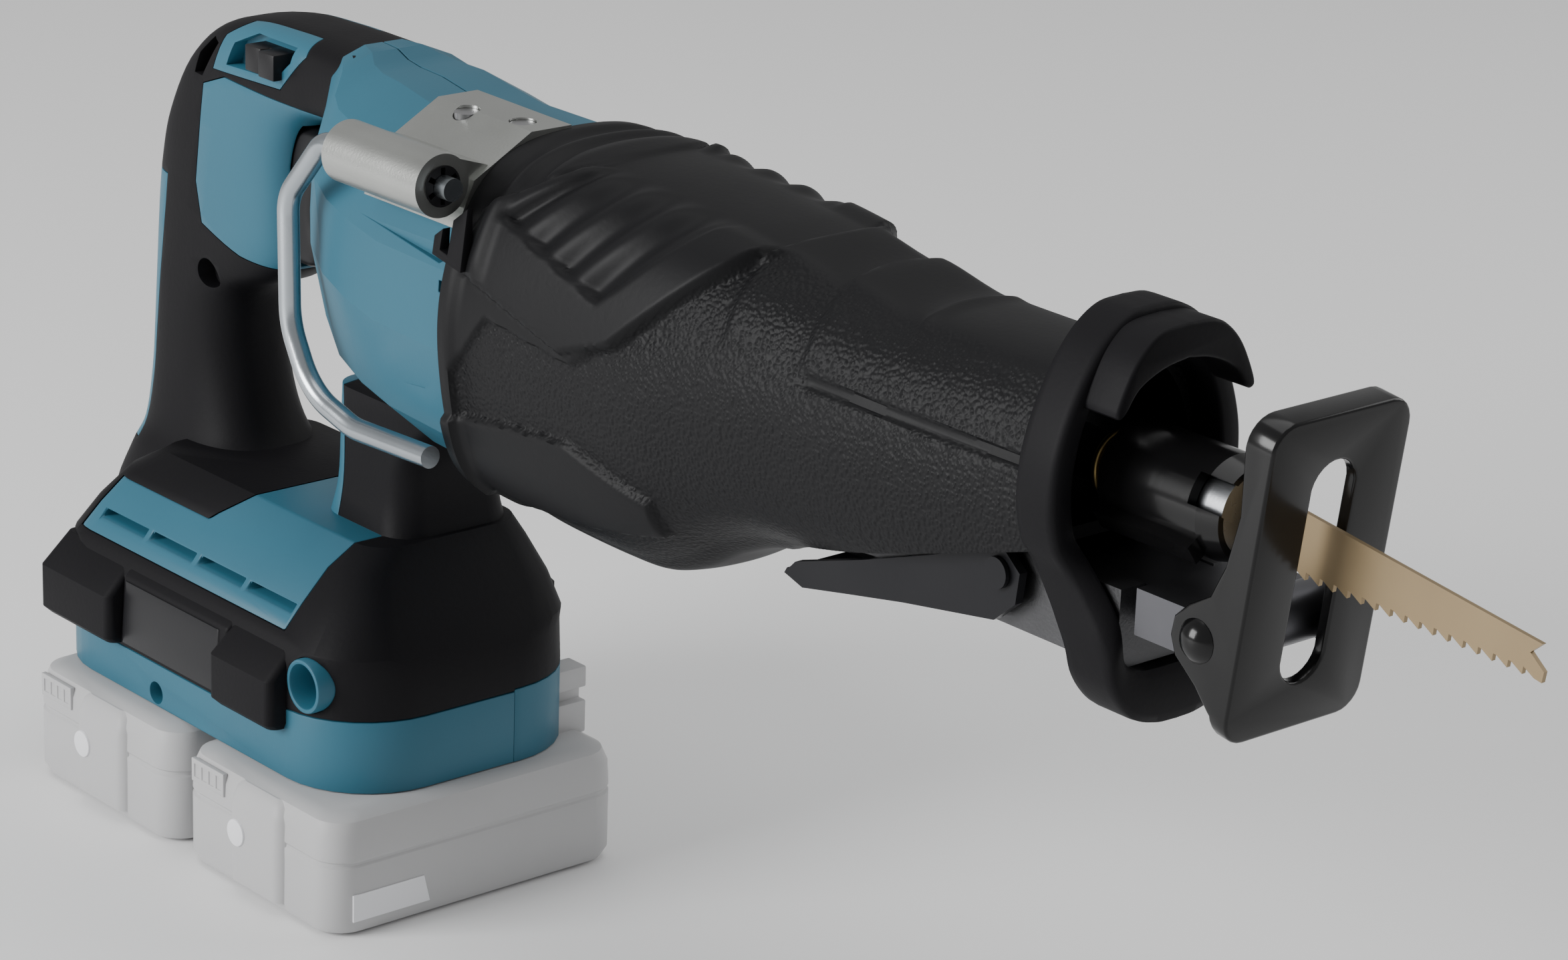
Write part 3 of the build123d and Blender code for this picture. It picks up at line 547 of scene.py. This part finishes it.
for side in (-1, 1):
    back_face = [(x, TAB_BACK * side, z) for x, z, _ in TAB]
    front_face = [(x, out * side, z) for x, z, out in TAB]
    side_tabs.append(tube_of("boot_tab", [back_face, front_face], rubber, smooth=False))
for shape in side_tabs:
    combine(shape, prism_y("slit", SLIT, -60, 60), "DIFFERENCE")
    soften(shape, 0.5, segments=2)
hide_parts("rubber_boot")

# ------------------------------------------------------------------------ boot's mouth
# The front of the same moulding, smooth and thick: a D-shaped flange with a rolled rim, a chin that
# reaches down in front of the lever, and a hood over the blade clamp.
FLANGE = [(0, 232.3), (8, 231.6), (15, 227.5), (21, 220.5), (26.5, 210.5), (30, 200), (31, 191),
          (30.5, 184), (28.5, 177), (25.5, 171), (24.8, 164), (24.5, 156), (22, 146), (15, 137.5),
          (7, 134.5), (0, 134)]
MOUTH = [(0, 227.5), (7, 227), (12.5, 222.5), (18, 214), (22, 205), (23.9, 196), (24, 189), (22.8, 181),
         (20.4, 174), (19.9, 166), (19.6, 158), (18, 152), (13, 149.5), (8, 149), (4, 149), (0, 149)]


def both_sides(half, count):
    """Smooth closed loop from half an outline that starts and ends in the middle plane."""
    arc = through(half, 10)
    step = np.hypot(*np.diff(arc, axis=0).T)
    run = np.concatenate([[0], np.cumsum(step)])
    want = np.linspace(0, run[-1], count)
    arc = np.stack([np.interp(want, run, arc[:, k]) for k in (0, 1)], axis=1)
    return np.vstack([arc, arc[-2:0:-1] * (-1, 1)])


rim_out, rim_in = both_sides(FLANGE, 90), both_sides(MOUTH, 90)
low = 1 - ease(rim_out[:, 1], 150, 178)
front = 272 + 15 * low
back = 259 + 12 * low
turns = [(0.0, 0.18), (0.06, 0.02), (0.2, 0.0), (0.8, 0.0), (0.94, 0.02), (1.0, 0.18), (1.0, 0.82),
         (0.94, 0.98), (0.06, 0.98), (0.0, 0.82)]
rings = []
for along, across in turns:
    rim = rim_out + (rim_in - rim_out) * across
    rings.append(np.column_stack([back + (front - back) * along, rim]))
flange = tube_of("boot_flange", rings, rubber, around=True)
flange.data.set_sharp_from_angle(angle=math.radians(60))
HOOD = [(0, 231), (8, 230.4), (13, 228), (18, 222.5), (22.4, 213.5), (21.6, 211.2), (19.6, 212.2),
        (15.4, 217.5), (8, 221), (0, 222.4)]
hood_line = both_sides(HOOD, 70)
hood_rings = [np.column_stack([np.full(len(hood_line), x), hood_line]) for x in (262, 276, 283)]
hood = tube_of("boot_hood", hood_rings, rubber)
soften(hood, 1.0, segments=3, angle=50)
for made in [boot, flange, hood] + side_tabs:
    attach(made, "saw")

# ------------------------------------------------------------------------ base fittings and motor
# On each side of the base, two elastomer bumpers with a tray and a blank rating plate between them.
# Inside the housing are the pack rails, the controller board, the switch, the screws and the motor.
black = moulded("black_nylon", (0.011, 0.0105, 0.012), (0.008, 0.008, 0.009), 0.42, bump=0.06)


def metal(name, light, dark, rough, bump=0.03):
    """Metallic finish: a finer grain than the plastics' and a sheen that varies less."""
    return moulded(name, light, dark, rough, grain=1400.0, bump=bump, metal=1.0, spread=0.06)


def paint(material, width, *names):
    """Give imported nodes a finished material, and rounded edges where width (mm) isn't nought."""
    for name in names:
        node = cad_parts[name]
        node.data.materials.clear()
        node.data.materials.append(material)
        if width:
            edge = node.modifiers.new("edge", "BEVEL")
            edge.width, edge.segments, edge.limit_method = width * MM, 3, "ANGLE"
            edge.angle_limit = math.radians(35)


plate_film = moulded("plate_film", (0.014, 0.014, 0.016), (0.011, 0.011, 0.012), 0.3)
for side, wall, low in ((-1, 57.5, 50.5), (1, 29.6, 59.0)):
    name = "right" if side < 0 else "left"
    group = []
    for x0, x1 in ((-116, -79), (-27, 3)):
        bumper = tower(f"bumper_{name}_{-x0}", [
            (low, x0 + 1, x1 - 1, *sorted((side * (wall - 6), side * (wall + 5))), 3),
            (low + 2, x0, x1, *sorted((side * (wall - 6), side * (wall + 7))), 2.5),
            (low + 15, x0, x1, *sorted((side * (wall - 8), side * (wall + 7))), 2.5),
            (low + 24, x0 + 1, x1 - 1, *sorted((side * (wall - 14), side * (wall - 2))), 2.5)],
            rubber, steps=1)
        group.append(bumper)
    tray = tower(f"plate_tray_{name}", [
        (low, -79, -25, *sorted((side * (wall - 6), side * (wall + 3))), 1.5),
        (low + 21, -79, -25, *sorted((side * (wall - 8), side * (wall + 1.5))), 1.5),
        (low + 24, -79, -25, *sorted((side * (wall - 10), side * (wall - 2))), 1.5)], rubber, steps=1)
    plate = tower(f"rating_plate_{name}", [
        (low + 1.5, -77.5, -28.5, *sorted((side * wall, side * (wall + 3.4))), 1.2),
        (low + 20, -77.5, -28.5, *sorted((side * wall, side * (wall + 2.0))), 1.2)], plate_film, steps=1)
    soften(plate, 0.3, segments=2, angle=50)
    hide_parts(f"rating_plate_{name}")
    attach(plate, "saw")
    group.append(tray)
    for made in group:
        soften(made, 0.8, segments=2, angle=40)
        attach(made, "saw")
    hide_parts(f"side_pad_{name}")
paint(black, 0, "pack_rail_front", "pack_rail_rear", "trigger_switch")
paint(moulded("controller_board", (0.02, 0.09, 0.05), (0.01, 0.05, 0.03), 0.5), 0, "controller")
paint(metal("screw_steel", (0.32, 0.33, 0.35), (0.22, 0.22, 0.24), 0.35), 0.25, "housing_screws")
paint(metal("stator_laminations", (0.3, 0.3, 0.3), (0.18, 0.17, 0.17), 0.5), 0,
      "motor_stator", "rotor_core")
paint(moulded("fan_nylon", (0.03, 0.03, 0.033), (0.02, 0.02, 0.022), 0.45), 0, "cooling_fan")

# ------------------------------------------------------------------------ gearbox and rod
# Inside the boot: the die-cast alloy gear housing, the bevel crank drive, and the ground steel rod
# that carries the blade clamp.  Only the nose of the casting and the rod's end are seen.
steel = metal("ground_steel", (0.42, 0.43, 0.45), (0.32, 0.33, 0.34), 0.28)
paint(metal("die_cast_alloy", (0.12, 0.12, 0.125), (0.07, 0.07, 0.072), 0.45, bump=0.2), 0.4,
      "gear_housing")
paint(steel, 0, "rotor_bearings", "crank_bearings", "rotor_shaft", "pinion", "crank_gear", "crank_shaft",
      "crank_pin", "counterweight", "yoke", "yoke_roller", "shoe_lock_pin")
paint(steel, 0.3, "reciprocating_rod", "clamp_body", "clamp_pin")
paint(metal("sintered_bronze", (0.42, 0.26, 0.1), (0.3, 0.18, 0.07), 0.42), 0, "rod_bushings")
paint(rubber, 0, "rod_seal")

# ------------------------------------------------------------------------ blade clamp and blade
# A gloss black steel sleeve turns against a brassy spring to let go of the blade; the blade is
# bi-metal strip with a tan lacquer and set teeth.
paint(metal("brassy_spring", (0.42, 0.31, 0.12), (0.26, 0.18, 0.07), 0.34), 0, "clamp_spring")
gloss = moulded("gloss_black_steel", (0.0062, 0.006, 0.0062), (0.0045, 0.0045, 0.0048), 0.2, bump=0.02,
                coat=0.15, gloss_level=0.25, spread=0.05)
paint(gloss, 0.8, "clamp_sleeve")
paint(moulded("lacquered_blade", (0.36, 0.27, 0.155), (0.27, 0.2, 0.115), 0.38, metal=0.55), 0.12, "blade")

# ------------------------------------------------------------------------ shoe, carriage and lever
# The shoe is pressed steel plate with turned-back cheeks, riveted to a sliding carriage so that it
# tilts; a folded steel lever under the boot locks the carriage.  The shoe and its pin are gloss
# black lacquer, the lever is black oxide and the carriage is darkened steel.
CHEEK = [(12.8, 58), (4.6, 58), (4.2, 50), (6.2, 34), (4.6, 21), (1.5, 12), (-4.5, 7.3), (-8, 3), (-8.3, -2),
         (-6, -6.5), (1.5, -11), (7, -16), (8.6, -22), (12.8, -22)]
shoe = prism_y("shoe_pressing", CHEEK, -22.5, 22.5, gloss)
front_view = rounded(0, -22.5, 22.5, -22, 58, 7, arc=7)
combine(shoe, prism_x("corners", [(y, z) for y, z, _ in front_view], -20, 20), "INTERSECT")
combine(shoe, box(-20, 9.4, -19.3, 19.3, -18.5, 53.5), "DIFFERENCE")
window = [(7 * math.cos(t), (39 if math.sin(t) >= 0 else -3) + 7 * math.sin(t))
          for t in (i * math.pi / 12 + math.pi / 24 for i in range(24))]
combine(shoe, prism_x("window", window, -20, 20), "DIFFERENCE")
soften(shoe, 1.3, segments=3, angle=40)
SHOE_PIN = Vector((312, 0, 167)) * MM
shoe.data.transform(Matrix.Translation(SHOE_PIN) @ Matrix.Rotation(math.radians(7.2), 4, "Y"))
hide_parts("shoe_plate")
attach(shoe, "shoe")
paint(gloss, 0.5, "shoe_pivot_pin")
paint(moulded("black_oxide", (0.02, 0.02, 0.022), (0.012, 0.012, 0.014), 0.34, metal=0.15,
               gloss_level=0.15), 0.6,
      "shoe_lever", "lever_pins")
paint(metal("carriage_steel", (0.16, 0.16, 0.17), (0.09, 0.09, 0.1), 0.4), 0.5, "shoe_carriage")

# ------------------------------------------------------------------------ rafter hook
# Bent zinc-plated wire turning in a cast bracket that two countersunk screws hold on the casing's
# top; a slotted black insert in the barrel's front end gives the wire its click stops.
paint(metal("bracket_alloy", (0.52, 0.53, 0.51), (0.4, 0.41, 0.39), 0.36, bump=0.12), 0.7, "hook_bracket")
paint(metal("zinc_plate", (0.5, 0.54, 0.57), (0.36, 0.39, 0.42), 0.26), 0.5, "hook_wire")
paint(metal("bracket_screw_steel", (0.45, 0.45, 0.46), (0.3, 0.3, 0.31), 0.3), 0.3, "bracket_screws")
paint(black, 0.3, "hook_detent")

# ------------------------------------------------------------------------ trigger and lock-off button
# The trigger is a hollow nylon moulding with a finger-shaped front; the lock-off button goes right
# through the arch and has a split thumb pad at each end.
TRIGGER_RINGS = [(160.5, -71, -58, -6, 6, 4), (163, -72, -53, -8.5, 8.5, 5), (168, -72, -52.6, -9, 9, 6),
                 (176, -72, -54, -9, 9, 6.5), (186, -72, -52, -9, 9, 6.5), (195, -72, -49.6, -9, 9, 6),
                 (200, -72, -50, -8.5, 8.5, 5), (202, -71, -56, -6, 6, 4)]
trigger = tower("trigger_pull", TRIGGER_RINGS, black)
stem = disc(3.0, (0, 180), -86, -71, axis="X")
combine(trigger, stem, "UNION")
trigger.data.set_sharp_from_angle(angle=math.radians(40))
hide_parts("trigger")
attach(trigger, "trigger")
button = box(-75.3, -58.9, -19.9, 19.9, 217.2, 224.8)
button.name = "lock_off"
button.data.materials.append(black)
for side in (-1, 1):
    combine(button, box(-67.6, -66.6, *sorted((side * 15, side * 30)), 210, 230), "DIFFERENCE")
    combine(button, box(-80, -67, *sorted((side * 18.4, side * 30)), 210, 230), "DIFFERENCE")
soften(button, 0.6, segments=2)
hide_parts("lock_off_button")
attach(button, "lock_off")

# ------------------------------------------------------------------------ battery packs
# Two slide-on packs of ten cells: pale grey nylon cases with rounded corners, a charge gauge and a
# check button on the near end, and a sprung latch at the far end.
grey = moulded("pack_nylon", (0.5, 0.5, 0.505), (0.46, 0.46, 0.465), 0.45)
white = moulded("label_film", (0.84, 0.845, 0.87), (0.8, 0.805, 0.83), 0.4)
CASE_PROFILE = [(0, 3.5), (1.2, 1.2), (4, 0), (21, 0), (21.6, 0.5), (22.4, 0.5), (23, 0), (30, 0.3),
                (34, 1.6), (35.7, 5)]     # height, and how far in the case's wall stands
for where, x in (("front", 0.0), ("rear", -80.0)):
    case_rings = [rounded(z, x - 37.5 + i, x + 37.5 - i, -67 + i, 34 - i, 9) for z, i in CASE_PROFILE]
    body = tube_of(f"pack_body_{where}", case_rings, grey)
    bulge = tower("bulge", [(4, x - 11, x + 15, -69, -50, 4), (28, x - 11, x + 15, -69, -50, 4),
                            (34, x - 9, x + 13, -66, -50, 4)], None, steps=2)
    combine(body, bulge, "UNION")
    deck_block = box(x - 21, x + 21, -43.4, 33.6, 34, 54.5)
    for side in (-1, 1):
        groove = sorted((x + side * 18.0, x + side * 24.0))
        combine(deck_block, box(*groove, -60, 60, 44, 48), "DIFFERENCE")
    combine(deck_block, box(x - 12.6, x + 12.6, 25.6, 40, 44.9, 60), "DIFFERENCE")
    soften(deck_block, 0.6, segments=2)
    deck_block.name = f"pack_deck_{where}"
    deck_block.data.materials.append(grey)
    soften(body, 0.5, segments=2, angle=40)
    gauge = box(x - 31, x - 15, -67.5, -66, 26, 33)
    gauge.name = f"gauge_{where}"
    gauge.data.materials.append(grey)
    for k in range(4):
        combine(gauge, box(x - 29.6 + 3.6 * k, x - 27.2 + 3.6 * k, -70, -67.1, 27.5, 31.5), "DIFFERENCE")
    soften(gauge, 0.25, segments=2)
    check = disc(4.0, (x - 6, 19), -69.8, -68)
    check.name = f"check_button_{where}"
    check.data.materials.append(white)
    soften(check, 0.4, segments=2)
    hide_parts(f"pack_case_{where}")
    made = [(body, "pack_grey"), (deck_block, "pack_grey"), (gauge, "pack_grey"), (check, "pack_grey")]
    if where == "front":
        label = tube_of("pack_label", [[(x0, -60, 5), (x0, -34, 5), (x0, -36, 13), (x0, -60, 13)]
                                       for x0 in (36.8, 37.8)], white, smooth=False)
        made.append((label, "pack_grey"))
    for thing, slot_name in made:
        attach(thing, f"pack_{where}")
paint(grey, 0.5, "pack_latch_front", "pack_latch_rear")
paint(metal("cell_sleeve", (0.16, 0.28, 0.2), (0.12, 0.2, 0.14), 0.5), 0,
      "pack_cells_front", "pack_cells_rear")

# ------------------------------------------------------------------------ camera, light and floor
# A plain studio: a pale matt floor and surround, a soft key light on the near side, a weaker one
# above and another behind.  The camera stands at the near right, a little above the saw.
def studio():
    """Camera on the near right, plain floor and soft area lights."""
    floor = piece("studio_floor", [(-4000, -4000, 0), (4000, -4000, 0), (4000, 4000, 0), (-4000, 4000, 0)],
                  [(0, 1, 2, 3)], None)
    pale = bpy.data.materials.new("studio_white")
    pale.use_nodes = True
    nodes, links = pale.node_tree.nodes, pale.node_tree.links
    shader = nodes["Principled BSDF"]
    cloud = nodes.new("ShaderNodeTexNoise")
    cloud.inputs["Scale"].default_value = 2.0
    tone = nodes.new("ShaderNodeMapRange")
    tone.inputs["To Min"].default_value = 0.55
    tone.inputs["To Max"].default_value = 0.6
    links.new(cloud.outputs["Fac"], tone.inputs["Value"])
    links.new(tone.outputs["Result"], shader.inputs["Roughness"])
    shader.inputs["Base Color"].default_value = (0.96, 0.96, 0.96, 1)
    floor.data.materials.append(pale)
    world = bpy.data.worlds.new("surround")
    world.use_nodes = True
    world.node_tree.nodes["Background"].inputs["Color"].default_value = (1, 1, 1, 1)
    world.node_tree.nodes["Background"].inputs["Strength"].default_value = 0.42
    bpy.context.scene.world = world
    aim = Vector((0.12, 0, 0.13))
    for name, place, size, power in (("key", (-0.5, -1.7, 0.75), 0.9, 36),
                                     ("top", (-0.1, 0.1, 1.7), 1.3, 8),
                                     ("rim", (0.5, 1.5, 0.9), 1.0, 6)):
        light = bpy.data.lights.new(name, "AREA")
        light.size, light.energy = size, power
        lamp = bpy.data.objects.new(name, light)
        bpy.context.scene.collection.objects.link(lamp)
        lamp.location = place
        lamp.rotation_euler = (aim - Vector(place)).to_track_quat("-Z", "Y").to_euler()
    data = bpy.data.cameras.new("camera")
    data.sensor_width, data.lens = 36.0, 103.87
    data.shift_x, data.shift_y = 0.00198, 0.00486
    data.clip_start, data.clip_end = 0.05, 20
    camera = bpy.data.objects.new("camera", data)
    bpy.context.scene.collection.objects.link(camera)
    az, el, roll = (math.radians(a) for a in (48.9046, 19.2216, 2.0780))
    behind = Vector((math.sin(az) * math.cos(el), -math.cos(az) * math.cos(el), math.sin(el)))
    level = Vector((0, 0, 1)).cross(behind).normalized()
    upright = behind.cross(level)
    right = level * math.cos(roll) + upright * math.sin(roll)
    top = upright * math.cos(roll) - level * math.sin(roll)
    turn = Matrix((right, top, behind)).transposed().to_4x4()
    camera.matrix_world = Matrix.Translation(Vector((969.45, -722.11, 533.21)) * MM) @ turn
    bpy.context.scene.camera = camera


studio()
